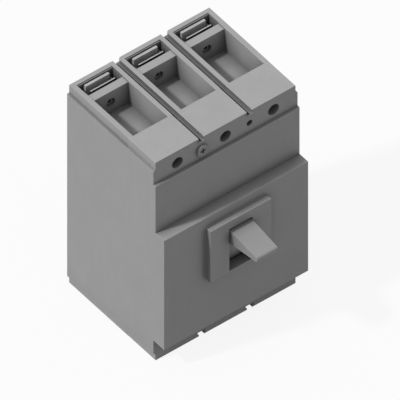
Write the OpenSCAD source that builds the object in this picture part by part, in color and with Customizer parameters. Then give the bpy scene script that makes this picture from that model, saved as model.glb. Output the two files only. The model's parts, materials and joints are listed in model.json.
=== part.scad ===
// Three pole moulded case circuit breaker with its terminals, contacts, toggle mechanism and trip unit.
// Rear face on y = 0, front towards -Y, line side up (+Z). The handle stands at on.

/* [Housing] */
// Width across the three poles
body_w = 105; // [104:0.5:108]
// Height from load end to line end
body_h = 160.2; // [158:0.1:164]
// Depth from the rear face to the terminal strips at both ends
end_depth = 80.4; // [79:0.2:83]
// Depth of the cover moulding behind the terminal strips
cover_h = 25.2; // [24:0.2:26]
// How far the upper front panel stands out of the terminal strips
panel_step = 2; // [1.5:0.1:3]
// How far the raised accessory cover stands out of the terminal strips
accessory_step = 10; // [9:0.1:11]
// Thickness of the outer walls
wall = 3; // [2.5:0.1:3.2]
// Thickness of the walls between the poles
partition = 2.5; // [2:0.1:2.8]
// Height of the terminal strip on the front, at each end
end_strip = 16.9; // [16:0.1:18]
// Upper edge of the accessory cover above mid height
accessory_top = 25.4; // [24:0.2:27]
// Height of the narrowed stretch of the side walls at each end
cap_h = 6.2; // [4:0.5:8]
// How far each side wall steps in there
cap_inset = 1.5; // [0.5:0.1:1.8]
// Wall of the accessory cover
accessory_wall = 2.2; // [1.8:0.1:2.6]

/* [Handle opening] */
// Width of the raised collar
collar_w = 44.5; // [40:0.5:50]
// How far the collar stands out of the accessory cover
collar_rise = 4.5; // [4:0.1:5]
// Upper edge of the collar
collar_top = 17.7; // [16:0.1:19]
// Lower edge of the collar, below mid height
collar_bottom = 23.8; // [23.6:0.1:25.4]
// Width of the opening for the handle
slot_w = 16.7; // [16.7:0.1:18]
// Upper edge of the opening
slot_top = 11.3; // [10.5:0.1:12]
// Lower edge of the opening, below mid height
slot_bottom = 22.6; // [22.4:0.1:23]

/* [Terminals] */
// Distance from the middle between two poles to the wells beside it
well_side = 4.85; // [4.5:0.05:5.2]
// Depth of each well below the end face
well_h = 18; // [17:0.5:19]
// Distance from the rear face to the rear wall of the well
well_rear = 18.4; // [18:0.1:19]
// Distance from the rear face to the front of the clamp slot
clamp_slot_front = 13.1; // [13:0.1:13.4]
// Distance from the rear face to the back of the clamp slot
clamp_slot_rear = 2.9; // [2.5:0.1:3]
// How far the bar between well and slot lies below the end face
bar_drop = 0.7; // [0.4:0.1:1.5]
// Distance from the end face to the terminal and fixing holes
hole_inset = 9.65; // [9.2:0.05:10]
// Diameter of the holes for the screwdriver
access_d = 7.9; // [6.5:0.1:9]
// Diameter of the two fixing holes
fixing_d = 4.2; // [4:0.1:5]
// Diameter of the clamp screws
clamp_screw_d = 5; // [4:0.1:5.4]
// Travel of the pressure plates
clamp_travel = 4; // [3:0.1:4]

/* [Barrier grooves] */
// Width of the groove mouth
groove_w = 3.7; // [3:0.1:4.5]
// Thickness of the lips at the mouth
groove_lip = 1.2; // [0.8:0.1:1.5]
// Width of the groove below its lips
groove_inner_w = 5.7; // [5:0.1:6.2]
// Depth of the groove
groove_h = 3.2; // [2.8:0.1:3.6]
// Width of the slit in the floor of the groove
slit_w = 1.2; // [0.8:0.1:1.6]
// Depth of the groove and slit together
slit_h = 5.7; // [4.5:0.1:6]
// Radius of the rear corners beside the grooves
groove_corner_r = 2; // [1:0.5:3]

/* [Conductors and contacts] */
// Distance from the side of a well to the edge of its copper strap
strap_side = 3.95; // [3.9:0.05:5.5]
// Thickness of the copper straps
strap_t = 1.7; // [1.4:0.1:1.8]
// Distance from the rear face to the straps
strap_rear = 4.4; // [4.3:0.1:4.5]
// Width of the moving contact arms
arm_w = 5.8; // [4:0.1:6]
// Distance from the middle of the contact tips to the end of the pole chamber
chute_h = 18.5; // [18:0.5:19.5]
// Height of the contact tips
tip_h = 8; // [6:0.5:9]
// Thickness of each fixed contact tip
fixed_tip_t = 2; // [1.5:0.1:2.2]
// Thickness of each moving contact tip
moving_tip_t = 1.5; // [1:0.1:2]

/* [Arc chutes] */
// Number of splitter plates in each pole
arc_plates = 9; // [5:1:9]
// Distance from plate to plate
arc_pitch = 4.2; // [3.6:0.1:4.2]
// Thickness of each splitter plate
arc_plate_t = 1.2; // [0.8:0.1:1.5]
// Thickness of the fibre walls beside the plates
arc_wall_t = 0.8; // [0.5:0.1:0.8]

/* [Mechanism] */
// Turn of the handle from on to off, in degrees
handle_swing = 31; // [28:1:31]
// Depth of the handle's pivot behind the terminal strips
pivot_depth = 22.4; // [22:0.1:22.8]
// Height of the handle's pivot below mid height
pivot_drop = 6.2; // [6:0.1:6.4]
// Distance from the rear face to the axis of the crossbar
crossbar_depth = 24; // [23.8:0.1:24.2]
// Width of the handle at the opening
grip_w = 16.1; // [14:0.1:16.1]
// Width of the handle at its tip
grip_tip_w = 15.2; // [12:0.1:15.6]
// How far the handle tip stands out of the collar
grip_l = 24.7; // [18:0.1:28]
// Radius of the contact crossbar
crossbar_r = 7; // [6:0.1:7.2]
// Diameter of the pin at the knee of the toggle
knee_pin_d = 3; // [2.5:0.1:3.4]
// Thickness of the mechanism side plates
side_plate_t = 1.2; // [1:0.1:1.3]

/* [Trip unit] */
// Radius of the trip bar
trip_bar_r = 3; // [2.5:0.1:3.2]
// Distance from the rear face to the axis of the trip bar
trip_depth = 26; // [25.8:0.1:26.2]
// Turn of each armature onto its magnet, in degrees
armature_swing = 8; // [5:1:8]

/* [Clearances] */
// Gap round a pin or shaft that turns
turn_gap = 0.05; // [0.02:0.01:0.09]
// Gap round a piece that slides or is let into a pocket
slide_gap = 0.1; // [0.05:0.01:0.2]
// Gap between moving pieces that pass each other
pass_gap = 0.4; // [0.3:0.05:0.4]

/* [Hidden] */

$fn = 48;
cut = 1;                    // how far a cutting shape runs past the face that it cuts
half_w = body_w / 2;
half_h = body_h / 2;
base_depth = end_depth - cover_h;
panel_depth = end_depth + panel_step;
accessory_depth = end_depth + accessory_step;
collar_front = accessory_depth + collar_rise;
pole_pitch = body_w / 3;
pole_half = (pole_pitch - partition) / 2;
pole_side = half_w - wall - pole_pitch;
pole_x = [-pole_pitch, 0, pole_pitch];
gap_x = middle(pole_pitch);

// Heights along the housing
well_floor = half_h - well_h;
chamber_end = well_floor - wall;
strip_z = half_h - end_strip;
hole_z = half_h - hole_inset;

// Cable clamps
well_w = pole_pitch - 2 * well_side;
clamp_slot_w = well_w + 0.4;
strap_w = well_w - 2 * strap_side;
cage_t = 1;
cage_w = strap_w + 2 * pass_gap + 2 * cage_t;
cage_rear = clamp_slot_rear + slide_gap;
cage_front = clamp_slot_front - slide_gap;
slot_lip = 0.6;
slot_lip_h = 2;
cage_top = half_h - 5;
cage_foot = well_floor + slide_gap;
strap_front = strap_rear + strap_t;
strap_end_drop = 1.2;
plate_t = 0.8;
plate_rear = strap_front + clamp_travel + 0.2;
plate_front = plate_rear + plate_t;
plate_w = strap_w + 0.6;
clamp_screw_r = clamp_screw_d / 2;
clamp_screw_head = well_rear - 1.6;
clamp_bore_r = clamp_screw_r + 0.6;
socket_r = 0.6 * clamp_screw_r;
socket_h = 3;

// Cover screws and their brass inserts
screw_r = 1.75;
screw_head_r = 3.9;
screw_head_h = 1.7;
screw_hole_r = screw_r + 0.15;
insert_r = 3;
insert_front = base_depth - 3;
insert_rear = insert_front - 10;
screw_tip = insert_rear + 1;

// Axes of the mechanism as [y, z], with the handle at on
handle_axis = [pivot_depth - end_depth, -pivot_drop];
crossbar_axis = [-crossbar_depth, handle_axis.y + 0.2];
trip_axis = [-trip_depth, handle_axis.y - 21.8];
cradle_axis = handle_axis + [6, 22.2];
link_axis = handle_axis + [4, 2.6];
crank_axis = crossbar_axis + [-4, 11];
knee_axis = crank_axis - [12, 5];
latch_axis = trip_axis + [-18, -12];
armature_axis = trip_axis + [5.8, -12];
handle_tilt = handle_swing / 2;

// Layers of the mechanism, as distances from the middle of the centre pole
cradle_in = 3;
cradle_out = 4.4;
carrier_in = arm_w / 2 + 0.3;
carrier_out = 5.8;
upper_in = cradle_out + pass_gap;
upper_out = upper_in + 1.2;
lower_in = upper_out + pass_gap;
lower_out = lower_in + 1.2;
plate_in = pole_half - 3.25;
spring_x = (lower_out + plate_in) / 2;
spring_r = (plate_in - lower_out) / 2 - 1;
plate_out = plate_in + side_plate_t;
yoke_in = plate_out + pass_gap;
yoke_out = yoke_in + 1.2;
knee_pin_r = knee_pin_d / 2;
pin_r = 1.5;
pivot_r = 2;
handle_pivot_r = 2.5;

// Handle
shroud_t = 2;
shroud_r = collar_front - accessory_wall - 1.1 + handle_axis.x;
shroud_w = slot_w + 4;
shroud_reach = 46;
shroud_low_reach = 52;
yoke_web_t = 1.2;
yoke_web_r = shroud_r - 9.6;
anchor_r = yoke_web_r - 1.5;
grip_root_y = -collar_front - 1.6;
grip_root_top = handle_axis.y + 15.7;
grip_root_low = handle_axis.y + 6.4;
grip_reach = collar_front + grip_l;
grip_tip_r = 1.9;
grip_tip = [-grip_reach + grip_tip_r, handle_axis.y + 11];
grip_back_y = handle_axis.x - shroud_r + shroud_t;
sill_t = 1.2;
sill_rear = sqrt(pow(shroud_r + 0.35, 2) - pow(slot_bottom + handle_axis.y, 2)) - handle_axis.x;

// Contacts
tip_z = chamber_end - chute_h;
fixed_face = crossbar_depth - 10;
strap_gap = fixed_face - fixed_tip_t - 2 * strap_t - strap_rear;
strap_bend = strap_gap / 2 + strap_t;
strap_bend_z = tip_z - 7;
strap_leg_top = tip_z + tip_h / 2 + 2;
closed_gap = 0.05;
arm_face = fixed_face + closed_gap + moving_tip_t;
tip_w = arm_w - 0.6;
arm_top = tip_z + tip_h / 2 + 1.5;
arm_hub_r = 5;
arm_bend_z = crossbar_axis.y + 20;
arm_tail_z = 8;
carrier_r = 10;
carrier_front = crossbar_axis.x - carrier_r;
carrier_top = arm_bend_z - 1;
carrier_rear = crossbar_axis.x + 2;
carrier_wall = 2.5;
bar_half = half_w - wall - 2;
spring_seat_z = crossbar_axis.y + 15.7;

// Arc chutes
arc_plate_w = 2 * (pole_side - arc_wall_t - 0.2);
arc_first = fixed_face + 3;
arc_foot = tip_z - 5;
arc_top = chamber_end - 1;
arc_notch_r = 4.2;
arc_notch_z = tip_z + 5;
arc_wall_foot = arc_foot - 1;
arc_wall_top = chamber_end - 0.3;

// Trip unit
heater_w = 12;
heater_t = 1.2;
heater_top = trip_axis.y - 2;
heater_foot = -chamber_end + 2.5;
load_strap_top = heater_foot + 4;
heater_front = strap_front + heater_t;
bimetal_w = 8;
bimetal_t = 1;
bimetal_rear = heater_front + 2.9;
bimetal_top = trip_axis.y + 1;
bimetal_front = bimetal_rear + bimetal_t;
calibration_r = 1.3;
calibration_z = trip_axis.y - 8;
core_w = 2 * (pole_side - 2.5);
core_leg = 2.5;
core_low = heater_foot + 6;
core_high = trip_axis.y - 8;
core_front = -armature_axis.x - 4.2;
ear_front = -armature_axis.x + 2.3;
ear_half = 2;
armature_w = core_w - 2 * core_leg - 2 * pass_gap;
armature_air = (armature_axis.y - core_low) * tan(armature_swing);
armature_rear = core_front + armature_air + 0.5;
armature_t = 1.6;
armature_low = core_low - 1;
armature_high = armature_axis.y + 6.5;
armature_pin_r = 1;
finger_rear = -armature_rear - armature_t - 1.3;
finger_t = 1.8;
finger_low = trip_axis.y - 9;
finger_w = 16;
calibration_tip = -finger_rear - 0.5;
catch_w = 8;
catch_l = 12;
catch_drop = 7.4;
catch_t = 3;

// Colours
grey_moulding = [0.36, 0.36, 0.37];
steel = [0.6, 0.61, 0.62];
copper = [0.72, 0.45, 0.3];
tinned = [0.68, 0.68, 0.7];
silver = [0.8, 0.8, 0.8];
brass = [0.72, 0.6, 0.32];
fibre = [0.55, 0.36, 0.26];
dark_moulding = [0.12, 0.12, 0.13];

// Limits of a width that is centred on zero
function middle(w) = [-w / 2, w / 2];

// A box between two limits along each axis
module span(x, y, z) {
    translate([min(x), min(y), min(z)])
        cube([abs(x[1] - x[0]), abs(y[1] - y[0]), abs(z[1] - z[0])]);
}

// A profile drawn as [y, z] and carried along X from one limit to the other
module across(from, to) {
    translate([from, 0, 0]) rotate([90, 0, 90]) linear_extrude(to - from) children();
}

// The same profile on both sides of the centre pole
module both_sides(from, to) {
    across(from, to) children();
    across(-to, -from) children();
}

module at_pole(pole) {
    translate([pole_x[pole - 1], 0, 0]) children();
}

module each_pole() {
    for (x = pole_x) translate([x, 0, 0]) children();
}

module both_ends() {
    children();
    mirror([0, 0, 1]) children();
}

module at_load_end() {
    mirror([0, 0, 1]) children();
}

// A round bar along X on an axis given as [y, z]
module pin_x(axis, r, from, to) {
    translate([from, axis.x, axis.y]) rotate([0, 90, 0]) cylinder(r = r, h = to - from);
}

// A round bar along Y, from the distance near to the distance far in front of the rear face
module pin_y(x, z, r, near, far) {
    translate([x, -near, z]) rotate([90, 0, 0]) cylinder(r = r, h = far - near);
}

module dot(axis, r) {
    translate(axis) circle(r = r);
}

// A straight bar of one width between two axes in a profile
module bar_between(a, b, w) {
    d = b - a;
    translate(a) rotate(atan2(d.y, d.x)) translate([0, -w / 2]) square([norm(d), w]);
}

// Outline of the housing with narrowed caps, between two depths
module housing_block(near, far) {
    span([-half_w, half_w], [-far, -near], [-half_h + cap_h, half_h - cap_h]);
    span([-half_w + cap_inset, half_w - cap_inset], [-far, -near], [-half_h, half_h]);
}

// Undercut groove for a phase barrier with a slit in its floor, cut at the line end
module barrier_groove(far) {
    span(middle(groove_w), [-far - cut, cut], [half_h - groove_h, half_h + cut]);
    span(middle(groove_inner_w), [-far - cut, cut], [half_h - groove_h, half_h - groove_lip]);
    span(middle(slit_w), [-end_depth + 0.8, cut], [half_h - slit_h, half_h - groove_h + cut]);
}

// Rounds the rear corner of the pole on the right of a groove
module groove_corner() {
    translate([groove_w / 2, -groove_corner_r, half_h - groove_h]) linear_extrude(groove_h + cut)
        difference() {
            translate([-0.01, 0]) square([groove_corner_r + 0.01, groove_corner_r + cut]);
            translate([groove_corner_r, 0]) circle(r = groove_corner_r);
            translate([groove_corner_r, 0]) square([cut, groove_corner_r + 2 * cut]);
        }
}

// Space of one pole between the partitions and the outer wall
module pole_space(near, far, low, high) {
    outer = half_w - wall;
    span([-pole_half, pole_half], [-far, -near], [low, high]);
    span([pole_half + partition, outer], [-far, -near], [low, high]);
    span([-outer, -pole_half - partition], [-far, -near], [low, high]);
}

// Slot that lets a shaft into a partition from the front
module shaft_slot(axis, r) {
    dot(axis, r + turn_gap);
    translate([-base_depth - cut, axis.y - r - turn_gap])
        square([base_depth + cut + axis.x, 2 * (r + turn_gap)]);
}

// Tongue of the cover that closes such a slot over the shaft
module shaft_tongue(axis, r) {
    translate([-base_depth - cut, axis.y - r + slide_gap])
        square([base_depth + cut + axis.x - r - slide_gap, 2 * (r - slide_gap)]);
}

module terminal_cuts() {
    span(middle(well_w), [-base_depth - cut, -well_rear], [well_floor, half_h + cut]);
    span(middle(clamp_slot_w), [-clamp_slot_front, -clamp_slot_rear],
        [well_floor, half_h - bar_drop - slot_lip_h]);
    span(middle(clamp_slot_w), [-clamp_slot_front, -clamp_slot_rear - slot_lip],
        [well_floor, half_h + cut]);
    span(middle(clamp_slot_w), [-clamp_slot_front + cut, -clamp_slot_rear],
        [half_h - bar_drop, half_h + cut]);
    span(middle(well_w), [-well_rear - cut, -clamp_slot_front + cut],
        [half_h - bar_drop, half_h + cut]);
    pin_y(0, hole_z, clamp_bore_r, clamp_slot_front - cut, well_rear + cut);
    span([-strap_w / 2 - slide_gap, strap_w / 2 + slide_gap],
        [-strap_front - slide_gap, -strap_rear + slide_gap], [chamber_end - cut, well_floor + cut]);
}

module base() {
    color(grey_moulding) difference() {
        housing_block(0, base_depth);
        both_ends() {
            each_pole() terminal_cuts();
            for (x = gap_x) translate([x, 0, 0]) {
                barrier_groove(base_depth);
                groove_corner();
            }
        }
        pole_space(wall, base_depth + cut, -chamber_end, chamber_end);
        for (x = gap_x) across(x - partition, x + partition) {
            shaft_slot(crossbar_axis, crossbar_r);
            shaft_slot(trip_axis, trip_bar_r);
        }
        pin_y(gap_x[1], hole_z, fixing_d / 2, -cut, base_depth + cut);
        pin_y(gap_x[0], -hole_z, fixing_d / 2, -cut, base_depth + cut);
        for (s = [-1, 1]) {
            pin_y(s * gap_x[0], s * hole_z, insert_r + turn_gap, insert_rear, base_depth + cut);
            pin_y(s * gap_x[0], s * hole_z, screw_hole_r, insert_rear - 4, base_depth);
        }
    }
}

module cover() {
    inner = end_depth - wall;
    color(grey_moulding) union() {
        difference() {
            union() {
                housing_block(base_depth, end_depth);
                span([-half_w, half_w], [-panel_depth, -end_depth + cut], [accessory_top, strip_z]);
            }
            pole_space(base_depth - cut, inner, -chamber_end, chamber_end);
            pole_space(base_depth, panel_depth - wall, accessory_top + wall, chamber_end);
            span([-pole_half, pole_half], [-end_depth - cut, -inner + cut],
                [handle_axis.y - shroud_r + 5.2, handle_axis.y + shroud_r - 5.2]);
            both_ends() {
                for (x = pole_x) pin_y(x, hole_z, access_d / 2, base_depth - cut, end_depth + cut);
                for (x = gap_x) translate([x, 0, 0]) barrier_groove(end_depth);
            }
            pin_y(gap_x[1], hole_z, fixing_d / 2, base_depth - cut, end_depth + cut);
            pin_y(gap_x[0], -hole_z, fixing_d / 2, base_depth - cut, end_depth + cut);
            for (s = [-1, 1])
                pin_y(s * gap_x[0], s * hole_z, screw_hole_r, base_depth - cut, end_depth + cut);
        }
        for (x = gap_x) across(x - partition / 2, x + partition / 2) {
            shaft_tongue(crossbar_axis, crossbar_r);
            shaft_tongue(trip_axis, trip_bar_r);
        }
    }
}

// Raised cover over the accessory space, with the collar round the handle
module accessory_cover() {
    color(grey_moulding) union() {
        difference() {
            union() {
                span([-half_w, half_w], [-accessory_depth, -end_depth], [-strip_z, accessory_top]);
                span(middle(collar_w), [-collar_front, -accessory_depth], [-collar_bottom, collar_top]);
            }
            span([-half_w + accessory_wall, half_w - accessory_wall],
                [-accessory_depth + accessory_wall, -end_depth + cut],
                [-strip_z + accessory_wall, accessory_top - accessory_wall]);
            span([-collar_w / 2 + accessory_wall, collar_w / 2 - accessory_wall],
                [-collar_front + accessory_wall, -end_depth + cut],
                [-collar_bottom + accessory_wall, collar_top - accessory_wall]);
            span(middle(slot_w), [-collar_front - cut, -end_depth + cut], [-slot_bottom, slot_top]);
        }
        // Sill that narrows the gap under the curved shroud
        span(middle(collar_w - accessory_wall), [-accessory_depth, -sill_rear],
            [-slot_bottom - sill_t, -slot_bottom]);
    }
}

// Pan head with a cross recess on a long shank
module cover_screw(x, z) {
    recess_w = 1;
    recess_l = 4;
    recess_h = 1.2;
    difference() {
        union() {
            pin_y(x, z, screw_head_r, end_depth, end_depth + screw_head_h);
            pin_y(x, z, screw_r, screw_tip, end_depth + 0.5);
        }
        translate([x, -end_depth - screw_head_h, z]) for (turn = [0, 90])
            rotate([0, turn, 0]) span(middle(recess_l), [-cut, recess_h], middle(recess_w));
    }
}

module cover_screws() {
    color(steel) for (s = [-1, 1]) cover_screw(s * gap_x[0], s * hole_z);
}

module cover_screw_inserts() {
    color(brass) for (s = [-1, 1]) difference() {
        pin_y(s * gap_x[0], s * hole_z, insert_r, insert_rear, insert_front);
        pin_y(s * gap_x[0], s * hole_z, screw_r + turn_gap, insert_rear - cut, insert_front + cut);
    }
}

// Line strap: down behind the clamp, then turned back up to carry the fixed contact
module line_conductors() {
    leg_y = -strap_rear - 2 * strap_t - strap_gap;
    bend = [-strap_rear - strap_bend, strap_bend_z];
    color(tinned) each_pole() across(-strap_w / 2, strap_w / 2) {
        translate([-strap_front, strap_bend_z])
            square([strap_t, half_h - strap_end_drop - strap_bend_z]);
        translate([leg_y, strap_bend_z]) square([strap_t, strap_leg_top - strap_bend_z]);
        difference() {
            dot(bend, strap_bend);
            dot(bend, strap_gap / 2);
            translate([bend.x - strap_bend, bend.y]) square(2 * strap_bend);
        }
    }
}

module load_conductors() {
    color(tinned) each_pole()
        span(middle(strap_w), [-strap_front, -strap_rear], [-half_h + strap_end_drop, load_strap_top]);
}

module fixed_contacts() {
    color(silver) each_pole()
        span(middle(tip_w), [-fixed_face, -fixed_face + fixed_tip_t], [tip_z - tip_h / 2, tip_z + tip_h / 2]);
}

// Steel frame that the pressure plate is clamped in, round the end of the strap
module clamp_cage() {
    difference() {
        span(middle(cage_w), [-cage_front, -cage_rear], [cage_foot, cage_top]);
        span([-cage_w / 2 + cage_t, cage_w / 2 - cage_t], [-cage_front + cage_t, -cage_rear - cage_t],
            [cage_foot - cut, cage_top + cut]);
        pin_y(0, hole_z, clamp_screw_r + turn_gap, cage_front - cage_t - cut, cage_front + cut);
    }
}

module line_clamp_cages() {
    color(steel) each_pole() clamp_cage();
}

module load_clamp_cages() {
    color(steel) each_pole() at_load_end() clamp_cage();
}

module clamp_screw() {
    color(steel) difference() {
        pin_y(0, hole_z, clamp_screw_r, plate_front, clamp_screw_head);
        translate([0, -clamp_screw_head + socket_h, hole_z]) rotate([90, 0, 0])
            cylinder(r = socket_r, h = socket_h + cut, $fn = 6);
    }
}

module pressure_plate() {
    color(steel) span(middle(plate_w), [-plate_front, -plate_rear],
        [cage_foot + slide_gap, half_h - strap_end_drop]);
}

module arc_chute_walls() {
    side = arc_plate_w / 2;
    color(fibre) each_pole() for (x = [-side - arc_wall_t, side])
        span([x, x + arc_wall_t], [-arc_first - (arc_plates - 1) * arc_pitch - 2, -arc_first + 3],
            [arc_wall_foot, arc_wall_top]);
}

// Stack of steel plates with a notch that the contact tip swings through
module arc_stack(pole) {
    color(steel) at_pole(pole) for (i = [0 : arc_plates - 1])
        translate([0, -arc_first - i * arc_pitch, 0]) rotate([90, 0, 0]) linear_extrude(arc_plate_t)
            difference() {
                translate([-arc_plate_w / 2, arc_foot]) square([arc_plate_w, arc_top - arc_foot]);
                translate([0, arc_notch_z]) circle(r = arc_notch_r);
                translate([-arc_notch_r, arc_foot - cut])
                    square([2 * arc_notch_r, arc_notch_z - arc_foot + cut]);
            }
}

// Profile of the carrier that holds one contact arm on the crossbar
module carrier_profile() {
    dot(crossbar_axis, crossbar_r);
    polygon([[carrier_front, crossbar_axis.y], [carrier_front, carrier_top],
        [carrier_rear - 4, carrier_top], [carrier_rear, crossbar_axis.y + crossbar_r], crossbar_axis]);
}

module crossbar() {
    color(dark_moulding) difference() {
        union() {
            pin_x(crossbar_axis, crossbar_r, -bar_half, bar_half);
            each_pole() across(-carrier_out, carrier_out) carrier_profile();
        }
        each_pole() {
            span([-carrier_in, carrier_in], [carrier_front + carrier_wall, 0], [-half_h, carrier_top + cut]);
            pin_x(crossbar_axis, pivot_r + turn_gap, -carrier_out - cut, carrier_out + cut);
        }
        pin_x(crank_axis, pin_r + turn_gap, -carrier_out - cut, carrier_out + cut);
    }
}

module crank_pin() {
    color(steel) pin_x(crank_axis, pin_r, -lower_out - 0.3, lower_out + 0.3);
}

module contact_arm_pins() {
    color(steel) each_pole() pin_x(crossbar_axis, pivot_r, -carrier_out, carrier_out);
}

// Copper arm from the crossbar up to the contact tip, narrow where it passes the crank pin
module moving_contacts() {
    arm_front = 4;
    arm_neck_z = 8;
    arm_nose_t = 5.5;
    color(copper) each_pole() difference() {
        across(-arm_w / 2, arm_w / 2) {
            dot(crossbar_axis, arm_hub_r);
            polygon([crossbar_axis + [-arm_front, 0], crossbar_axis + [-arm_front / 2, arm_neck_z],
                [crossbar_axis.x - 1.5, arm_bend_z], [-arm_face - arm_nose_t, tip_z],
                [-arm_face - arm_nose_t + 1, arm_top], [-arm_face, arm_top],
                [-arm_face, tip_z - tip_h / 2 - 2], [crossbar_axis.x + 3.5, arm_bend_z],
                crossbar_axis + [arm_hub_r - 0.2, 0]]);
            translate(crossbar_axis) polygon([[0, 0], [arm_hub_r - 0.2, 0], [arm_hub_r + 1.4, -arm_tail_z],
                [arm_hub_r - 2, -arm_tail_z]]);
        }
        pin_x(crossbar_axis, pivot_r + turn_gap, -arm_w, arm_w);
    }
}

module moving_tips() {
    color(silver) each_pole()
        span(middle(tip_w), [-arm_face, -arm_face + moving_tip_t], [tip_z - tip_h / 2, tip_z + tip_h / 2]);
}

// Wire of radius w wound round the Z axis from height 0 to h, as one faceted tube
module coil(r, w, h, turns, steps = 12, sides = 6) {
    n = turns * steps;
    ring = [for (i = [0 : n]) for (k = [0 : sides - 1])
        let (a = 360 * i / steps, b = 360 * k / sides, d = r + w * cos(b))
            [d * cos(a), d * sin(a), w + (h - 2 * w) * i / n + w * sin(b)]];
    first = [[for (k = [0 : sides - 1]) k]];
    last = [[for (k = [sides - 1 : -1 : 0]) n * sides + k]];
    skin = [for (i = [0 : n - 1]) for (k = [0 : sides - 1]) let (m = (k + 1) % sides)
        [i * sides + k, (i + 1) * sides + k, (i + 1) * sides + m, i * sides + m]];
    polyhedron(points = ring, faces = concat(first, last, skin), convexity = 10);
}

module contact_springs() {
    rear = -crossbar_axis.x + 2;
    front = -carrier_front - carrier_wall;
    color(steel) each_pole() translate([0, -rear, spring_seat_z]) rotate([90, 0, 0])
        coil(2, 0.4, front - rear, 3);
}

// Points of the braid's middle line: a smooth S from the arm's tail to the top of the heater
function braid_point(t) =
    let (a = crossbar_axis + [arm_hub_r - 0.4, -arm_tail_z - 0.05], b = a + [-0.6, -10],
        d = [-heater_front - 1, heater_top - 0.6], c = d + [-0.7, 12.6])
        pow(1 - t, 3) * a + 3 * pow(1 - t, 2) * t * b + 3 * (1 - t) * t * t * c + t * t * t * d;
function braid_side(t, w) =
    let (d = braid_point(t + 0.01) - braid_point(t - 0.01), u = d / norm(d))
        braid_point(t) + w * [-u.y, u.x];

module flexible_braids() {
    half_t = 0.8;
    steps = 12;
    color(copper) each_pole() across(-arm_w / 2, arm_w / 2)
        polygon(concat([for (i = [0 : steps]) braid_side(i / steps, half_t)],
            [for (i = [steps : -1 : 0]) braid_side(i / steps, -half_t)]));
}

// Side plate: a front plate that carries the pivots, on two feet that straddle the crossbar
module side_plate_profile() {
    foot_h = 8;
    foot_front = carrier_front - 2;
    notch_r = crossbar_r + 0.6;
    difference() {
        union() {
            polygon([handle_axis + [-10, -5.8], handle_axis + [-8, 9.2], cradle_axis + [-5, 5],
                cradle_axis + [5, 5], [carrier_front, crossbar_axis.y + 17],
                [carrier_front, crossbar_axis.y - 18], latch_axis + [4, -4], latch_axis + [-4, -4],
                latch_axis + [-10, 6]]);
            for (z = [crossbar_axis.y + notch_r, crossbar_axis.y - notch_r - foot_h])
                translate([foot_front, z]) square([-foot_front - wall, foot_h]);
        }
        dot(crossbar_axis, notch_r);
        translate([crossbar_axis.x, crossbar_axis.y - notch_r]) square([30, 2 * notch_r]);
        dot(handle_axis, handle_pivot_r + turn_gap);
        dot(cradle_axis, pivot_r + turn_gap);
        dot(latch_axis, pin_r + turn_gap);
    }
}

module side_plates() {
    color(steel) both_sides(plate_in, plate_out) side_plate_profile();
}

module handle_pivot_pins() {
    color(steel) {
        pin_x(handle_axis, handle_pivot_r, plate_in, yoke_out + 0.2);
        pin_x(handle_axis, handle_pivot_r, -yoke_out - 0.2, -plate_in);
    }
}

module cradle() {
    nose = latch_axis + [-5.4, 8];
    color(steel) {
        both_sides(cradle_in, cradle_out) difference() {
            union() {
                dot(cradle_axis, 4);
                dot(link_axis, 4);
                bar_between(link_axis, cradle_axis, 6);
                polygon([link_axis + [-4, 0], link_axis + [4, 0], [latch_axis.x, nose.y + 4],
                    [latch_axis.x, nose.y], nose]);
            }
            dot(cradle_axis, pivot_r + turn_gap);
            dot(link_axis, pin_r + turn_gap);
        }
        across(-cradle_out, cradle_out) translate(nose) square([5.4, 4]);
    }
}

module cradle_pin() {
    color(steel) pin_x(cradle_axis, pivot_r, -plate_out - 0.2, plate_out + 0.2);
}

module link_pivot_pin() {
    color(steel) pin_x(link_axis, pin_r, -upper_out - 0.3, upper_out + 0.3);
}

module upper_links() {
    color(steel) both_sides(upper_in, upper_out) difference() {
        union() {
            dot(link_axis, 3.4);
            dot(knee_axis, 3.4);
            bar_between(link_axis, knee_axis, 5);
        }
        dot(link_axis, pin_r + turn_gap);
        dot(knee_axis, knee_pin_r + turn_gap);
    }
}

module toggle_pin() {
    color(steel) pin_x(knee_axis, knee_pin_r, -plate_in + 0.5, plate_in - 0.5);
}

// The hole for the crank pin is oversize, because the links turn at constant ratios to the handle
module lower_links() {
    crank_play = 0.85;
    crank_shift = [-0.6, 0.15];
    color(steel) both_sides(lower_in, lower_out) difference() {
        union() {
            dot(knee_axis, 3.4);
            dot(crank_axis + crank_shift, 3.8);
            bar_between(knee_axis, crank_axis, 6);
        }
        dot(knee_axis, knee_pin_r + turn_gap);
        dot(crank_axis + crank_shift, pin_r + crank_play);
    }
}

// Hook that holds the cradle's nose, with a tail under the trip bar's finger
module latch() {
    color(steel) across(-2.6, 2.6) translate(latch_axis) difference() {
        polygon([[-8.6, 12.4], [-5.6, 12.4], [-5.6, 6.5], [1, 3.6], [9.5, 4], [9.5, 1.6], [0.5, -3.4],
            [-3.4, -2], [-8.6, 5]]);
        circle(r = pin_r + turn_gap);
    }
}

module latch_pin() {
    color(steel) pin_x(latch_axis, pin_r, -plate_out - 0.2, plate_out + 0.2);
}

// Turns what follows with the handle's middle line, which lies half a swing above level at on
module handle_frame() {
    translate([0, handle_axis.x, handle_axis.y]) rotate([-handle_tilt, 0, 0]) children();
}

module grip_profile() {
    slope_top = (grip_root_top - grip_tip.y - grip_tip_r) / (grip_root_y - grip_tip.x);
    slope_low = (grip_root_low - grip_tip.y + grip_tip_r) / (grip_root_y - grip_tip.x);
    back = grip_back_y - grip_root_y;
    polygon([[grip_back_y, grip_root_top + slope_top * back], [grip_tip.x, grip_tip.y + grip_tip_r],
        [grip_tip.x, grip_tip.y - grip_tip_r], [grip_back_y, grip_root_low + slope_low * back]]);
    dot(grip_tip, grip_tip_r);
}

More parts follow.
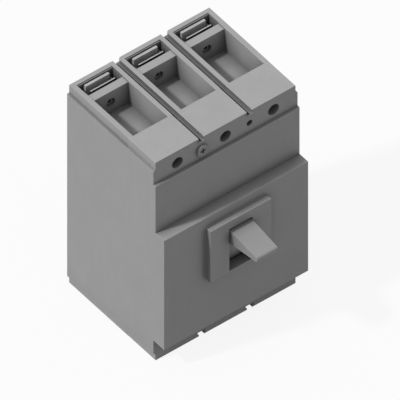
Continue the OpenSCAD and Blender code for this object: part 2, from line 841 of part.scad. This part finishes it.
// Moulded handle: a wedge grip on a curved shroud, with a hub that seats on the steel yoke
module handle() {
    side = shroud_r * 1.5;
    color(grey_moulding) {
        intersection() {
            across(-grip_w, grip_w) grip_profile();
            translate([0, 0, -side]) linear_extrude(2 * side)
                polygon([[-grip_w / 2, grip_back_y + cut], [-grip_w / 2, grip_root_y],
                    [-grip_tip_w / 2, -grip_reach - cut], [grip_tip_w / 2, -grip_reach - cut],
                    [grip_w / 2, grip_root_y], [grip_w / 2, grip_back_y + cut]]);
        }
        handle_frame() {
            across(-shroud_w / 2, shroud_w / 2) intersection() {
                difference() {
                    circle(r = shroud_r, $fn = 96);
                    circle(r = shroud_r - shroud_t, $fn = 96);
                }
                polygon([[0, 0], [-side, side * tan(shroud_reach)],
                    [-side, -side * tan(shroud_low_reach)]]);
            }
            span([-6, 6], [-shroud_r + shroud_t / 2, -yoke_web_r - yoke_web_t], [-5.5, 5.5]);
        }
    }
}

module handle_yoke() {
    color(steel) handle_frame() {
        both_sides(yoke_in, yoke_out) difference() {
            union() {
                circle(r = 5);
                translate([-yoke_web_r - yoke_web_t, -4.5]) square([yoke_web_r + yoke_web_t, 9]);
            }
            circle(r = handle_pivot_r + turn_gap);
            translate([-anchor_r, 0]) circle(r = pin_r - 0.3 + turn_gap);
        }
        span([-yoke_out, yoke_out], [-yoke_web_r - yoke_web_t, -yoke_web_r], [-4.5, 4.5]);
    }
}

module spring_anchor_pin() {
    color(steel) handle_frame() pin_x([-anchor_r, 0], pin_r - 0.3, -yoke_out, yoke_out);
}

// Two tension springs from the anchor pin on the yoke to the ends of the toggle pin
module main_springs() {
    anchor = handle_axis + anchor_r * [-cos(handle_tilt), sin(handle_tilt)];
    run = knee_axis - anchor;
    wire = 0.45;
    start = pin_r;
    length = norm(run) - start - knee_pin_r;
    color(steel) for (x = [-spring_x, spring_x]) translate([x, anchor.x, anchor.y])
        rotate([atan2(run.y, run.x), 0, 0]) rotate([-90, 0, 0]) translate([0, 0, start])
            coil(spring_r, wire, length, 14);
}

module trip_bar() {
    color(dark_moulding) {
        pin_x(trip_axis, trip_bar_r, -bar_half, bar_half);
        each_pole() span(middle(finger_w), [finger_rear - finger_t, finger_rear], [finger_low, trip_axis.y]);
        across(-catch_w / 2, catch_w / 2) translate(trip_axis)
            polygon([[0, 0], [-catch_l, catch_t - catch_drop], [-catch_l, -catch_drop],
                [5 - catch_l, -catch_drop], [trip_bar_r - 1, -1]]);
    }
}

module heaters() {
    color(brass) each_pole()
        span(middle(heater_w), [-heater_front, -strap_front], [heater_foot, heater_top]);
}

module bimetals() {
    color(copper) each_pole() difference() {
        union() {
            span(middle(bimetal_w), [-bimetal_front, -bimetal_rear], [heater_foot, bimetal_top]);
            span(middle(bimetal_w), [-bimetal_front, -heater_front], [heater_foot, heater_foot + 4]);
        }
        pin_y(0, calibration_z, calibration_r + turn_gap, bimetal_rear - cut, bimetal_front + cut);
    }
}

module calibration_screws() {
    color(brass) each_pole() {
        pin_y(0, calibration_z, calibration_r, bimetal_rear - 0.5, calibration_tip);
        pin_y(0, calibration_z, 2.2, bimetal_rear - 1.5, bimetal_rear - 0.1);
    }
}

// Steel yoke round the heater that pulls the armature in on a short circuit
module magnet_cores() {
    web_front = strap_front - 0.3;
    color(steel) each_pole() {
        span(middle(core_w), [-web_front, -wall], [core_low, core_high]);
        for (s = [-1, 1]) difference() {
            union() {
                span([s * core_w / 2, s * (core_w / 2 - core_leg)], [-core_front, -wall], [core_low, core_high]);
                span([s * core_w / 2, s * (core_w / 2 - core_leg)], [-ear_front, -core_front + cut],
                    [armature_axis.y - ear_half, armature_axis.y + ear_half]);
            }
            pin_x(armature_axis, armature_pin_r + turn_gap, -core_w, core_w);
        }
    }
}

module armature_pins() {
    color(steel) each_pole() pin_x(armature_axis, armature_pin_r, -core_w / 2, core_w / 2);
}

// Hinged plate in front of the magnet, forked round the calibration screw
module armature(pole) {
    fork_w = 2 * calibration_r + 2.2;
    armature_hub_r = armature_pin_r + 1;
    color(steel) at_pole(pole) difference() {
        union() {
            span(middle(armature_w), [-armature_rear - armature_t, -armature_rear],
                [armature_low, armature_high]);
            pin_x(armature_axis, armature_hub_r, -armature_w / 2, armature_w / 2);
        }
        pin_x(armature_axis, armature_pin_r + turn_gap, -armature_w, armature_w);
        span(middle(fork_w), [-armature_rear - armature_t - cut, -armature_rear + cut],
            [armature_axis.y + armature_hub_r, armature_high + cut]);
    }
}

base();
cover();
accessory_cover();
cover_screws();
cover_screw_inserts();
line_conductors();
load_conductors();
fixed_contacts();
line_clamp_cages();
load_clamp_cages();
at_pole(1) clamp_screw();  // line_clamp_screw_1
at_pole(2) clamp_screw();  // line_clamp_screw_2
at_pole(3) clamp_screw();  // line_clamp_screw_3
at_pole(1) at_load_end() clamp_screw();  // load_clamp_screw_1
at_pole(2) at_load_end() clamp_screw();  // load_clamp_screw_2
at_pole(3) at_load_end() clamp_screw();  // load_clamp_screw_3
at_pole(1) pressure_plate();  // line_pressure_plate_1
at_pole(2) pressure_plate();  // line_pressure_plate_2
at_pole(3) pressure_plate();  // line_pressure_plate_3
at_pole(1) at_load_end() pressure_plate();  // load_pressure_plate_1
at_pole(2) at_load_end() pressure_plate();  // load_pressure_plate_2
at_pole(3) at_load_end() pressure_plate();  // load_pressure_plate_3
arc_chute_walls();
arc_stack(1);  // arc_plates_1
arc_stack(2);  // arc_plates_2
arc_stack(3);  // arc_plates_3
crossbar();
crank_pin();
contact_arm_pins();
moving_contacts();
moving_tips();
contact_springs();
flexible_braids();
side_plates();
handle_pivot_pins();
cradle();
cradle_pin();
link_pivot_pin();
upper_links();
toggle_pin();
lower_links();
latch();
latch_pin();
handle();
handle_yoke();
spring_anchor_pin();
main_springs();
trip_bar();
heaters();
bimetals();
calibration_screws();
magnet_cores();
armature_pins();
armature(1);  // armature_1
armature(2);  // armature_2
armature(3);  // armature_3
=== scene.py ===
import json
import math
import bpy
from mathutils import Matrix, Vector

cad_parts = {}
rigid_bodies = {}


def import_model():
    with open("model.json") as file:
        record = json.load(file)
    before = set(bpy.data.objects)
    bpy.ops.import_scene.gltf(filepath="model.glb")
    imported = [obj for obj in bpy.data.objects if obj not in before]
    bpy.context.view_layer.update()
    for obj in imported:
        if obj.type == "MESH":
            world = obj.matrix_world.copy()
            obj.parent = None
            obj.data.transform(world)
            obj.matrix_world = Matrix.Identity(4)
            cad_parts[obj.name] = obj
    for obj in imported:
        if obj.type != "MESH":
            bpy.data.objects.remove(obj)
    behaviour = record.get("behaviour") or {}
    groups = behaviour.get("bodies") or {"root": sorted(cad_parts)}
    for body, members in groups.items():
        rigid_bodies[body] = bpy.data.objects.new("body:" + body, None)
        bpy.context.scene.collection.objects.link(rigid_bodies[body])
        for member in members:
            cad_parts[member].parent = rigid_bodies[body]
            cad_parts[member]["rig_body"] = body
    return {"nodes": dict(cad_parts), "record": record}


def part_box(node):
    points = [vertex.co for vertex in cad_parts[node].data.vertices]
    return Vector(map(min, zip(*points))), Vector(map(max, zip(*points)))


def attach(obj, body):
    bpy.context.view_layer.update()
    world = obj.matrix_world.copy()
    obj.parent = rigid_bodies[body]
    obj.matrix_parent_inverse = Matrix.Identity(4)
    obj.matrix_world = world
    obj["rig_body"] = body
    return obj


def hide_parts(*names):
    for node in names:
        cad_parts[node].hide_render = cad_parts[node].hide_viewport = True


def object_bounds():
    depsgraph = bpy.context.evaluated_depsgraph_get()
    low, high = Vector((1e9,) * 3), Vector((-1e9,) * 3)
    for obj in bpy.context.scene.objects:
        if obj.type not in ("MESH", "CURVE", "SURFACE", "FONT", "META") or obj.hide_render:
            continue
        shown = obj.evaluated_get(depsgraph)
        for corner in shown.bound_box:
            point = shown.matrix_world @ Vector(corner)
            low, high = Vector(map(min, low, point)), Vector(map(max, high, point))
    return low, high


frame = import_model()
bpy.context.scene.view_settings.view_transform = "Standard"
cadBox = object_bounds()
nodes = frame["nodes"]
print("frame loaded with", len(nodes), "nodes")


# Camera, light and floor

cameraLook = {
    "azimuth": -38.0,                # degrees round the breaker, from its front towards its left side
    "elevation": 45.0,               # degrees above the horizon
    "imageSize": 400,                # pixels
    "pixelsPerMetre": 1743.0,
    "originPixel": (139.2, 144.89),  # where the middle of the rear face falls in the picture
    "distance": 1.0,                 # metres, far enough to clear the handle
}


def makeCamera():
    turn = math.radians(cameraLook["azimuth"])
    rise = math.radians(cameraLook["elevation"])
    back = Vector((math.sin(turn) * math.cos(rise), -math.cos(turn) * math.cos(rise), math.sin(rise)))
    right = Vector((math.cos(turn), math.sin(turn), 0))
    up = back.cross(right)
    middle = cameraLook["imageSize"] / 2
    scale = cameraLook["pixelsPerMetre"]
    sideways = (middle - cameraLook["originPixel"][0]) / scale
    upwards = (cameraLook["originPixel"][1] - middle) / scale
    bpy.ops.object.camera_add(location=right * sideways + up * upwards + back * cameraLook["distance"])
    camera = bpy.context.active_object
    camera.rotation_mode = "QUATERNION"
    camera.rotation_quaternion = (-back).to_track_quat("-Z", "Y")
    camera.data.type = "ORTHO"
    camera.data.ortho_scale = cameraLook["imageSize"] / scale
    bpy.context.scene.camera = camera


# One value in a shader. Expressions on it add Math nodes, and add() makes any other node.
class Wire:
    def __init__(self, tree, socket=None):
        self.tree = tree
        self.socket = socket

    def add(self, kind, settings=None, inputs=None, out=0):
        node = self.tree.nodes.new("ShaderNode" + kind)
        for name, value in (settings or {}).items():
            setattr(node, name, value)
        for name, value in (inputs or {}).items():
            if isinstance(value, Wire):
                self.tree.links.new(value.socket, node.inputs[name])
            else:
                node.inputs[name].default_value = value
        return Wire(self.tree, node.outputs[out])

    def maths(self, operation, first, second):
        return self.add("Math", {"operation": operation}, {0: first, 1: second})

    def __add__(self, other):
        return self.maths("ADD", self, other)

    def __radd__(self, other):
        return self.maths("ADD", other, self)

    def __sub__(self, other):
        return self.maths("SUBTRACT", self, other)

    def __rsub__(self, other):
        return self.maths("SUBTRACT", other, self)

    def __mul__(self, other):
        return self.maths("MULTIPLY", self, other)

    def __rmul__(self, other):
        return self.maths("MULTIPLY", other, self)

    def atLeast(self, other):
        return self.maths("MAXIMUM", self, other)

    def blend(self, dark, light):
        return self.add("Mix", {"data_type": "RGBA"}, {0: self, 6: dark, 7: light}, out=2)

    def ramp(self, span):
        return self.add("MapRange", None, {"Value": self, "From Min": span[0], "From Max": span[1]})

    def bump(self, depth, strength=1.0):
        return self.add("Bump", None, {"Height": self, "Distance": depth, "Strength": strength})


lightLook = {
    "backdrop": 0.965,       # brightness of the background as the camera sees it
    "ambient": 0.22,         # light from all round
    "overhead": 0.38,        # more light from straight above, fading towards the horizon
    "lamp": 2.0,             # strength of the lamp
    "lampFrom": (-0.64, 0.151, 0.753),  # direction that the lamp shines from
    "lampSoftness": 5.0,     # degrees that the lamp spans
}


def seenRay(maker):
    # 1 where the camera looks, straight or by way of metal and glass
    path = maker.add("LightPath", out="Is Camera Ray")
    glossy = maker.add("LightPath", out="Is Glossy Ray")
    through = maker.add("LightPath", out="Is Transmission Ray")
    return path.atLeast(glossy).atLeast(through)


def makeWorld():
    world = bpy.data.worlds.new("studio")
    bpy.context.scene.world = world
    world.use_nodes = True
    tree = world.node_tree
    maker = Wire(tree)
    seen = seenRay(maker)
    height = maker.add("SeparateXYZ", None, {"Vector": maker.add("TexCoord", out="Generated")}, out="Z")
    ambient = height.atLeast(0) * lightLook["overhead"] + lightLook["ambient"]
    strength = seen * lightLook["backdrop"] + (1 - seen) * ambient
    background = tree.nodes["Background"]
    background.inputs["Color"].default_value = (1, 1, 1, 1)
    tree.links.new(strength.socket, background.inputs["Strength"])


def makeLamp():
    bpy.ops.object.light_add(type="SUN", location=(0, 0, 1))
    lamp = bpy.context.active_object
    lamp.name = "studioLamp"
    lamp.data.energy = lightLook["lamp"]
    lamp.data.angle = math.radians(lightLook["lampSoftness"])
    lamp.rotation_mode = "QUATERNION"
    lamp.rotation_quaternion = Vector(lightLook["lampFrom"]).to_track_quat("Z", "Y")


floorLook = {
    "size": 8.0,            # metres across
    "drop": 0.0001,         # keeps it clear of the faces that stand on it
    "colour": 0.25,         # what the floor sends back to the breaker
    "seenGlow": 0.89,       # share of the floor's seen brightness that takes no shadow
    "seenColour": 0.085,    # share that takes the shadow
}


def greyOf(level):
    return (level, level, level, 1)


def makeFloor():
    low = cadBox[0]
    bpy.ops.mesh.primitive_plane_add(size=floorLook["size"], location=(0, 0, low.z - floorLook["drop"]))
    floor = bpy.context.active_object
    floor.name = "floor"
    bpy.ops.object.transform_apply(location=True)
    material, maker, shader = startMaterial("paleFloor")
    shader.inputs["Roughness"].default_value = 1.0
    shader.inputs["Specular IOR Level"].default_value = 0.0
    shader.inputs["Emission Strength"].default_value = 1.0
    seen = seenRay(maker)
    colour = seen.blend(greyOf(floorLook["colour"]), greyOf(floorLook["seenColour"]))
    glow = seen.blend(greyOf(0), greyOf(floorLook["seenGlow"]))
    linkTo(shader, {"Base Color": colour, "Emission Color": glow})
    floor.data.materials.append(material)


# Materials. Lengths are in metres, scales are patterns per metre, and a span holds the two levels
# between which a pattern goes from 0 to 1.

def startMaterial(name, metallic=0.0):
    material = bpy.data.materials.new(name)
    material.use_nodes = True
    tree = material.node_tree
    shader = tree.nodes["Principled BSDF"]
    shader.inputs["Metallic"].default_value = metallic
    return material, Wire(tree), shader


def linkTo(shader, wires):
    for name, wire in wires.items():
        wire.tree.links.new(wire.socket, shader.inputs[name])


def objectPlace(maker, stretch=(1, 1, 1)):
    place = maker.add("TexCoord", out="Object")
    return maker.add("Mapping", None, {"Vector": place, "Scale": stretch})


def noise(place, scale, detail=3.0, roughness=0.55):
    inputs = {"Vector": place, "Scale": scale, "Detail": detail, "Roughness": roughness}
    return place.add("TexNoise", None, inputs)


def occlusion(maker, reach, alone=False):
    # 1 in the open, 0 where everything within reach is covered, by the piece alone or by any piece
    settings = {"samples": 8, "only_local": alone}
    return maker.add("AmbientOcclusion", settings, {"Distance": reach}, out="AO")


def shade(colour, factor):
    return tuple(min(1.0, c * factor) for c in colour) + (1,)


# Painted shade for the mouldings: their colour darkens where occlusion finds wells and corners
paintedShadeLook = {
    "wellReach": 0.02,
    "wellSpan": (0.15, 0.9),
    "cornerReach": 0.008,
    "cornerSpan": (0.0, 0.95),
    "footSpan": (0.003, 0.016),  # heights over the floor between which the painted shade sets in
    "shade": 0.36,
}


def outOfShade(maker):
    # painted shade: falls from 1 towards 0 in wells and in corners, where shade falls, but not next to the
    # floor
    wells = occlusion(maker, paintedShadeLook["wellReach"]).ramp(paintedShadeLook["wellSpan"])
    corners = occlusion(maker, paintedShadeLook["cornerReach"]).ramp(paintedShadeLook["cornerSpan"])
    height = maker.add("SeparateXYZ", None, {"Vector": maker.add("TexCoord", out="Object")}, out="Z")
    aboveFoot = height.ramp([cadBox[0].z + level for level in paintedShadeLook["footSpan"]])
    return 1 - (1 - wells * corners) * aboveFoot


mouldingLooks = {
    "moulding": {"colour": (0.395, 0.395, 0.398), "spread": 0.05, "grain": 3200, "depth": 0.00002,
                 "roughness": 0.52},
    "handle_moulding": {"colour": (0.345, 0.345, 0.348), "spread": 0.04, "grain": 4200, "depth": 0.00001,
                        "roughness": 0.42},
    "bar_moulding": {"colour": (0.045, 0.045, 0.05), "spread": 0.25, "grain": 1500, "depth": 0.00003,
                     "roughness": 0.6},
}
mouldPattern = {
    "specular": 0.25,
    "cloudScale": 55,
    "cloudSpan": (0.3, 0.7),
    "flowScale": 210,
    "flowStretch": (1, 1, 0.25),
    "flowSpan": (0.35, 0.65),
    "cloudShare": 0.6,
    "flowShare": 0.25,
    "grainShare": 0.15,
    "grainDullness": 0.18,
    "cloudDullness": 0.05,
}


def mouldedPlastic(name, look):
    # fine eroded texture of a mould, with faint clouds from the flow of the resin
    pattern = mouldPattern
    material, maker, shader = startMaterial(name)
    shader.inputs["Specular IOR Level"].default_value = pattern["specular"]
    place = objectPlace(maker)
    clouds = noise(place, pattern["cloudScale"], detail=4.0).ramp(pattern["cloudSpan"])
    flowPlace = objectPlace(maker, pattern["flowStretch"])
    flow = noise(flowPlace, pattern["flowScale"], detail=2.0).ramp(pattern["flowSpan"])
    grain = noise(place, look["grain"], detail=2.0, roughness=0.6)
    tone = clouds * pattern["cloudShare"] + flow * pattern["flowShare"] + grain * pattern["grainShare"]
    unshadedColour = tone.blend(shade(look["colour"], 1 - look["spread"]), shade(look["colour"], 1 + look["spread"]))
    # painted shade: the colour darkens in wells and corners
    colour = outOfShade(maker).blend(shade(look["colour"], paintedShadeLook["shade"]), unshadedColour)
    dullness = (grain - 0.5) * pattern["grainDullness"] + (clouds - 0.5) * pattern["cloudDullness"]
    roughness = look["roughness"] + dullness
    linkTo(shader, {"Base Color": colour, "Roughness": roughness, "Normal": grain.bump(look["depth"])})
    return material


# "bare" is the share of bare metal under the plating's haze, and the last keys set a painted shade that
# darkens recesses: how far it reaches and whether only the piece itself casts it
steelLooks = {
    "screw_steel": {"colour": (0.24, 0.24, 0.245), "stretch": (1, 1, 1), "lines": 900, "roughness": 0.55,
                    "bare": 0.4, "shadeReach": 0.002, "shadeAlone": True},
    "tinned_copper": {"colour": (0.5, 0.5, 0.51), "stretch": (1, 1, 0.06), "lines": 2300, "roughness": 0.6,
                      "bare": 0.25},
    "clamp_steel": {"colour": (0.45, 0.45, 0.46), "stretch": (1, 1, 0.06), "lines": 2600, "roughness": 0.5,
                    "bare": 0.4, "shadeReach": 0.006, "shadeAlone": False},
    "mechanism_steel": {"colour": (0.52, 0.52, 0.5), "stretch": (1, 0.08, 1), "lines": 2400,
                        "roughness": 0.34},
    "magnet_steel": {"colour": (0.2, 0.205, 0.215), "stretch": (1, 1, 1), "lines": 1400, "roughness": 0.6},
    "arc_plate_steel": {"colour": (0.45, 0.45, 0.47), "stretch": (0.05, 1, 1), "lines": 2200,
                        "roughness": 0.38},
    "spring_steel": {"colour": (0.5, 0.5, 0.52), "stretch": (1, 1, 1), "lines": 1800, "roughness": 0.28},
    "bimetal": {"colour": (0.5, 0.43, 0.34), "stretch": (1, 1, 0.05), "lines": 2200, "roughness": 0.36},
    "contact_silver": {"colour": (0.72, 0.72, 0.7), "stretch": (1, 1, 1), "lines": 700, "roughness": 0.35},
}
steelPattern = {
    "patchScale": 160,
    "patchSpan": (0.35, 0.7),
    "lineShare": 0.5,
    "patchShare": 0.5,
    "dark": 0.82,
    "light": 1.14,
    "shadeSpan": (0.4, 0.9),
    "shadeDarkness": 0.1,
    "lineDullness": 0.3,
    "patchDullness": 0.1,
}
# Fine lines on every metal but the braids
lineDepth = 0.00001
lineStrength = 0.6


def platedSteel(name, look):
    # rolling or turning lines under a thin satin plating, with dull patches
    pattern = steelPattern
    material, maker, shader = startMaterial(name, look.get("bare", 1.0))
    lines = noise(objectPlace(maker, look["stretch"]), look["lines"], roughness=0.7)
    patches = noise(objectPlace(maker), pattern["patchScale"], detail=5.0).ramp(pattern["patchSpan"])
    tone = lines * pattern["lineShare"] + patches * pattern["patchShare"]
    colour = tone.blend(shade(look["colour"], pattern["dark"]), shade(look["colour"], pattern["light"]))
    if "shadeReach" in look:
        # painted shade: darker colour in the recess of a screw and down in the clamps
        clear = occlusion(maker, look["shadeReach"], look["shadeAlone"]).ramp(pattern["shadeSpan"])
        colour = clear.blend(shade(look["colour"], pattern["shadeDarkness"]), colour)
    dullness = (lines - 0.5) * pattern["lineDullness"] + patches * pattern["patchDullness"]
    normal = lines.bump(lineDepth, lineStrength)
    linkTo(shader, {"Base Color": colour, "Roughness": look["roughness"] + dullness, "Normal": normal})
    return material


warmLooks = {
    "insert_brass": {"colour": (0.66, 0.47, 0.18), "stain": (0.38, 0.24, 0.09), "stretch": (1, 1, 1),
                     "roughness": 0.32},
    "heater_alloy": {"colour": (0.52, 0.42, 0.3), "stain": (0.22, 0.19, 0.2), "stretch": (1, 1, 0.08),
                     "roughness": 0.42},
    "arm_copper": {"colour": (0.66, 0.34, 0.2), "stain": (0.34, 0.16, 0.1), "stretch": (1, 0.1, 1),
                   "roughness": 0.33},
}
warmPattern = {
    "lineScale": 2300,
    "lineShare": 0.6,
    "leastTone": 0.2,
    "tarnishScale": 130,
    "tarnishSpan": (0.5, 0.78),
    "tarnishShare": 0.7,
    "dark": 0.88,
    "light": 1.1,
    "tarnishDullness": 0.25,
    "lineDullness": 0.2,
}


def warmMetal(name, look):
    # bare copper alloy with rolling lines and brown tarnish
    pattern = warmPattern
    material, maker, shader = startMaterial(name, 1.0)
    lines = noise(objectPlace(maker, look["stretch"]), pattern["lineScale"], roughness=0.7)
    patches = noise(objectPlace(maker), pattern["tarnishScale"], detail=6.0, roughness=0.6)
    tarnish = patches.ramp(pattern["tarnishSpan"])
    tone = lines * pattern["lineShare"] + pattern["leastTone"]
    bright = tone.blend(shade(look["colour"], pattern["dark"]), shade(look["colour"], pattern["light"]))
    colour = (tarnish * pattern["tarnishShare"]).blend(bright, (*look["stain"], 1))
    dullness = tarnish * pattern["tarnishDullness"] + (lines - 0.5) * pattern["lineDullness"]
    normal = lines.bump(lineDepth, lineStrength)
    linkTo(shader, {"Base Color": colour, "Roughness": look["roughness"] + dullness, "Normal": normal})
    return material


braidLook = {
    "colour": (0.6, 0.31, 0.18),
    "gap": (0.16, 0.07, 0.04),
    "strandScale": 950 / 6,  # puts the strands 2 mm apart
    "lean": 0.7,             # radians that each set of strands leans
    "depth": 0.00015,
    "roughness": 0.62,
    "strandShine": 0.25,
}


def wovenCopper(name):
    # flat braid: two sets of strands crossing at an angle
    look = braidLook
    material, maker, shader = startMaterial(name, 1.0)
    place = maker.add("TexCoord", out="Object")
    sets = []
    for lean in (look["lean"], -look["lean"]):
        turned = maker.add("Mapping", None, {"Vector": place, "Rotation": (0, lean, 0)})
        inputs = {"Vector": turned, "Scale": look["strandScale"]}
        sets.append(maker.add("TexWave", {"bands_direction": "X"}, inputs))
    weave = sets[0].atLeast(sets[1])
    # painted shade: the gaps between the strands take a darker copy of the copper
    colour = weave.blend((*look["gap"], 1), (*look["colour"], 1))
    roughness = look["roughness"] - weave * look["strandShine"]
    linkTo(shader, {"Base Color": colour, "Roughness": roughness, "Normal": weave.bump(look["depth"])})
    return material


fibreLook = {
    "colour": (0.3, 0.15, 0.08),
    "fibre": (0.46, 0.27, 0.15),
    "uprightScale": 1500,
    "levelScale": 1300,
    "thin": 0.12,            # stretch along each set of hairs
    "hairSpan": (0.45, 0.75),
    "roughness": 0.75,
    "hairDullness": 0.12,
    "depth": 0.00004,
}


def fibreBoard(name):
    # pressed fibre with short hairs of two directions
    look = fibreLook
    material, maker, shader = startMaterial(name)
    upright = noise(objectPlace(maker, (1, 1, look["thin"])), look["uprightScale"], detail=4.0)
    level = noise(objectPlace(maker, (1, look["thin"], 1)), look["levelScale"], detail=4.0)
    hairs = upright.atLeast(level).ramp(look["hairSpan"])
    colour = hairs.blend((*look["colour"], 1), (*look["fibre"], 1))
    roughness = look["roughness"] + hairs * look["hairDullness"]
    linkTo(shader, {"Base Color": colour, "Roughness": roughness, "Normal": hairs.bump(look["depth"])})
    return material


def makeMaterials():
    made = {}
    for slot, look in mouldingLooks.items():
        made[slot] = mouldedPlastic(slot, look)
    for slot, look in steelLooks.items():
        made[slot] = platedSteel(slot, look)
    for slot, look in warmLooks.items():
        made[slot] = warmMetal(slot, look)
    made["braid_copper"] = wovenCopper("braid_copper")
    made["fibre"] = fibreBoard("fibre")
    return made


slotOf = {part["node"]: part["material_slot"] for part in frame["record"]["subparts"]}


def dressNodes(materials):
    for name, slot in slotOf.items():
        mesh = nodes[name].data
        mesh.materials.clear()
        mesh.materials.append(materials[slot])
    print("materials set on", len(nodes), "nodes")


# Moulded and pressed pieces get the small radius on their edges that a tool leaves

softLooks = {
    "base": {"radius": 0.00026, "steps": 2},
    "cover": {"radius": 0.00026, "steps": 2},
    "accessory_cover": {"radius": 0.0004, "steps": 3},
    "handle": {"radius": 0.0004, "steps": 3},
    "cover_screws": {"radius": 0.00018, "steps": 2},
    "line_clamp_cages": {"radius": 0.00015, "steps": 2},
    "load_clamp_cages": {"radius": 0.00015, "steps": 2},
}
# Depths at which two mouldings meet flush. The edges there keep a much finer radius.
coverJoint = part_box("base")[0].y
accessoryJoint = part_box("accessory_cover")[1].y
flushJoints = {
    "base": [coverJoint],
    "cover": [coverJoint, accessoryJoint],
    "accessory_cover": [accessoryJoint],
}
softRules = {
    "jointRadius": 0.00003,
    "jointTolerance": 0.00001,        # how near to the joint's depth an edge has to lie
    "mergeDistance": 0.000002,
    "flatAngle": math.radians(0.5),   # triangles that differ by less become one face
    "sharpAngle": math.radians(32),   # edges that turn by more are rounded
    "smoothAngle": math.radians(50),  # edges that turn by less are shaded smooth
    "areaWeight": 100,                # how far large faces lead the shading
}


def copyNode(name, newName):
    bpy.ops.object.select_all(action="DESELECT")
    piece = bpy.data.objects.new(newName, nodes[name].data.copy())
    bpy.context.scene.collection.objects.link(piece)
    bpy.context.view_layer.objects.active = piece
    piece.select_set(True)
    return piece


def mergeFlatFaces():
    bpy.ops.object.mode_set(mode="EDIT")
    bpy.ops.mesh.select_mode(type="EDGE")
    bpy.ops.mesh.select_all(action="SELECT")
    bpy.ops.mesh.remove_doubles(threshold=softRules["mergeDistance"])
    bpy.ops.mesh.dissolve_limited(angle_limit=softRules["flatAngle"])
    bpy.ops.object.mode_set(mode="OBJECT")


def liesInJoint(edge, mesh, joints):
    depths = [mesh.vertices[corner].co.y for corner in edge.vertices]
    return any(all(abs(depth - joint) < softRules["jointTolerance"] for depth in depths) for joint in joints)


def roundSharpEdges(piece, radius, steps, joints, inJoint):
    # rounds the sharp edges that lie in a flush joint, or all the others
    bpy.ops.object.mode_set(mode="EDIT")
    bpy.ops.mesh.select_all(action="DESELECT")
    bpy.ops.mesh.edges_select_sharp(sharpness=softRules["sharpAngle"])
    bpy.ops.object.mode_set(mode="OBJECT")
    mesh = piece.data
    for polygon in mesh.polygons:
        polygon.select = False
    for edge in mesh.edges:
        if edge.select and liesInJoint(edge, mesh, joints) != inJoint:
            edge.select = False
    bpy.ops.object.mode_set(mode="EDIT")
    bpy.ops.mesh.bevel(offset=radius, segments=steps, profile=0.5, clamp_overlap=True)
    bpy.ops.object.mode_set(mode="OBJECT")


def flattenShading(piece):
    # large faces keep their own normal and the small round takes up the whole turn
    bpy.ops.object.shade_smooth_by_angle(angle=softRules["smoothAngle"])
    bpy.ops.object.modifier_add(type="WEIGHTED_NORMAL")
    normals = piece.modifiers[-1]
    normals.mode = "FACE_AREA"
    normals.weight = softRules["areaWeight"]
    normals.keep_sharp = True
    bpy.ops.object.modifier_apply(modifier=normals.name)


def softenNode(name):
    piece = copyNode(name, name + "_soft")
    joints = flushJoints.get(name, [])
    mergeFlatFaces()
    roundSharpEdges(piece, softLooks[name]["radius"], softLooks[name]["steps"], joints, False)
    if joints:
        roundSharpEdges(piece, softRules["jointRadius"], 1, joints, True)
    flattenShading(piece)
    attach(piece, nodes[name]["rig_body"])
    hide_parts(name)


makeCamera()
makeWorld()
makeLamp()
makeFloor()
print("camera, light and floor made")
dressNodes(makeMaterials())
for softName in softLooks:
    softenNode(softName)
print("edges softened on", len(softLooks), "pieces")
